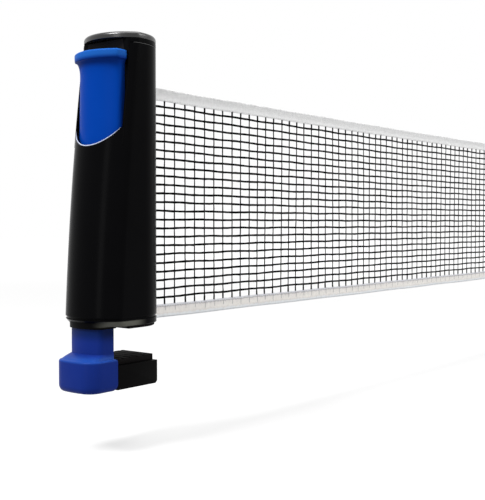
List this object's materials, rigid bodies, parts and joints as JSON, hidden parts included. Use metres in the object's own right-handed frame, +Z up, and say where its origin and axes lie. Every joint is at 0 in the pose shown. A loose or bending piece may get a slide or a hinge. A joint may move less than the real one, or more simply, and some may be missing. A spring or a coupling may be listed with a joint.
{
  "type": "table tennis net clamp",
  "caption": "Sprung post that clamps on a table tennis table's edge by a blue squeeze grip and sliding jaw, with a reel inside that pays out a tape-edged net to a hooked end bar",
  "frame": {"origin": "on the table top, which is the foot pad's underside, under the axis of the post's rounded inner end", "axes": "+Z up along the post, +X along the net over the table, +Y along the table's side edge"},
  "size_m": [0.646, 0.048, 0.218],
  "materials": {
    "housing": "glossy moulded black plastic",
    "cap": "glossy moulded black plastic",
    "base": "glossy moulded black plastic with a polished rim",
    "screw_steel": "zinc plated steel",
    "pad_rubber": "soft black rubber",
    "bulkhead": "satin black plastic",
    "rod_steel": "ground steel rod",
    "spring_steel": "oiled spring steel wire",
    "grip_blue": "satin blue moulded plastic",
    "jaw_blue": "satin deep blue moulded plastic",
    "jaw_black": "matte black plastic",
    "hub_plastic": "natural white acetal",
    "reel_aluminium": "drawn aluminium tube",
    "wound_net": "wound black mesh with pale tape edges",
    "net_thread": "black knitted polyester thread",
    "top_tape": "white woven polyester tape",
    "bottom_tape": "cream woven polyester tape",
    "cord": "white braided cord",
    "bar_plastic": "black moulded plastic",
    "hook_steel": "stamped steel"
  },
  "bodies": {
    "post": {"post_housing": "housing", "top_cap": "cap", "cap_screws": "screw_steel", "base_plate": "base", "base_screws": "screw_steel", "foot_pad": "pad_rubber", "bulkhead_near": "bulkhead", "bulkhead_far": "bulkhead", "guide_rod_near": "rod_steel", "guide_rod_far": "rod_steel", "clamp_spring_near": "spring_steel", "clamp_spring_far": "spring_steel", "reel_axle": "rod_steel", "axle_clip": "spring_steel", "spring_anchor": "hub_plastic", "net_lead": "wound_net"},
    "clamp": {"lever_grip": "grip_blue", "grip_screws": "screw_steel", "clamp_slide": "jaw_blue", "spring_washers": "screw_steel", "jaw_block": "jaw_black", "jaw_screws": "screw_steel", "jaw_pad": "pad_rubber"},
    "reel": {"reel_tube": "reel_aluminium", "reel_hub_bottom": "hub_plastic", "reel_hub_top": "hub_plastic", "recoil_spring": "spring_steel", "net_roll": "wound_net"},
    "net": {"net_mesh": "net_thread", "top_tape": "top_tape", "bottom_tape": "bottom_tape", "top_cord": "cord", "hem_cord": "cord", "end_bar_near": "bar_plastic", "end_bar_far": "bar_plastic", "end_hooks": "hook_steel", "end_rivets": "hook_steel"}
  },
  "joints": [
    {"name": "clamp_slide_z", "type": "slide", "parent": "post", "child": "clamp", "axis": [0, 0, -1], "range_m": [-0.0065, 0.031], "stiffness_N_per_m": 700, "springref_m": -0.026, "deforming": ["clamp_spring_near", "clamp_spring_far"]},
    {"name": "net_pull", "type": "slide", "parent": "post", "child": "net", "axis": [1, 0, 0], "range_m": [-0.552, 0], "stiffness_N_per_m": 3, "springref_m": -1, "deforming": ["net_mesh", "top_tape", "bottom_tape", "top_cord", "hem_cord"]},
    {"name": "reel_spin", "type": "hinge", "parent": "post", "child": "reel", "pos_m": [0.0065, 0, 0], "axis": [0, 0, 1], "range_deg": [-2375, 0]}
  ],
  "couplings": [
    {"joint": "reel_spin", "follows": "net_pull", "rad_per_m": 75}
  ]
}
